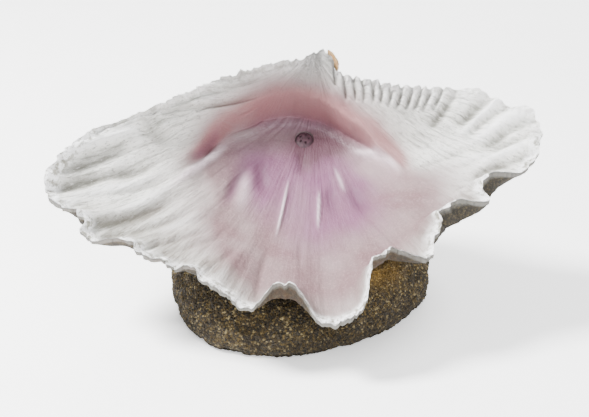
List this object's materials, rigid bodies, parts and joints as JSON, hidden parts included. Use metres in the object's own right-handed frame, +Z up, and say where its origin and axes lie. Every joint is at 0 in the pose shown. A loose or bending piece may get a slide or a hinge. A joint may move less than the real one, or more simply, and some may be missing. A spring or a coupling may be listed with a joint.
{
  "type": "aquarium bubbling ornament",
  "caption": "Open clam-shell aquarium ornament on a hollow rock base; air from a rear hose fitting bubbles out of a pierced cap in the shell's hollow.",
  "frame": {"origin": "centre of the bounding box, on the flat underside of the rock base", "axes": "+Z up; +X to the right of someone facing the open shell; +Y away from them, towards the hose fitting at the back"},
  "size_m": [0.1774, 0.116, 0.0873],
  "materials": {
    "pearl_resin": "pearl paint over cast resin, pink to plum in the bowl, clear gloss",
    "sand_faced_resin": "coarse sand bonded to cast resin",
    "epoxy_putty": "matt, yellow-brown",
    "tan_resin": "matt orange-tan paint",
    "clear_pvc": "smooth tube",
    "plum_resin": "satin plum paint",
    "black_rubber": "moulded, matt",
    "white_nylon": "moulded, satin",
    "silicone": "smooth, translucent",
    "sintered_stone": "porous sintered grit"
  },
  "bodies": {
    "ornament": {"shell_valve": "pearl_resin", "rock_base": "sand_faced_resin", "bond_bed": "epoxy_putty", "umbo_ligament": "tan_resin", "riser_sleeve": "clear_pvc", "bubble_cap": "plum_resin"},
    "air_cartridge": {"rubber_bung": "black_rubber", "air_inlet_barb": "white_nylon", "stone_sleeve": "silicone", "stone_nipple": "white_nylon", "air_stone": "sintered_stone"}
  },
  "joints": [
    {"name": "cartridge_slide", "type": "slide", "parent": "ornament", "child": "air_cartridge", "axis": [0, 1, 0], "range_m": [0, 0.05]}
  ]
}
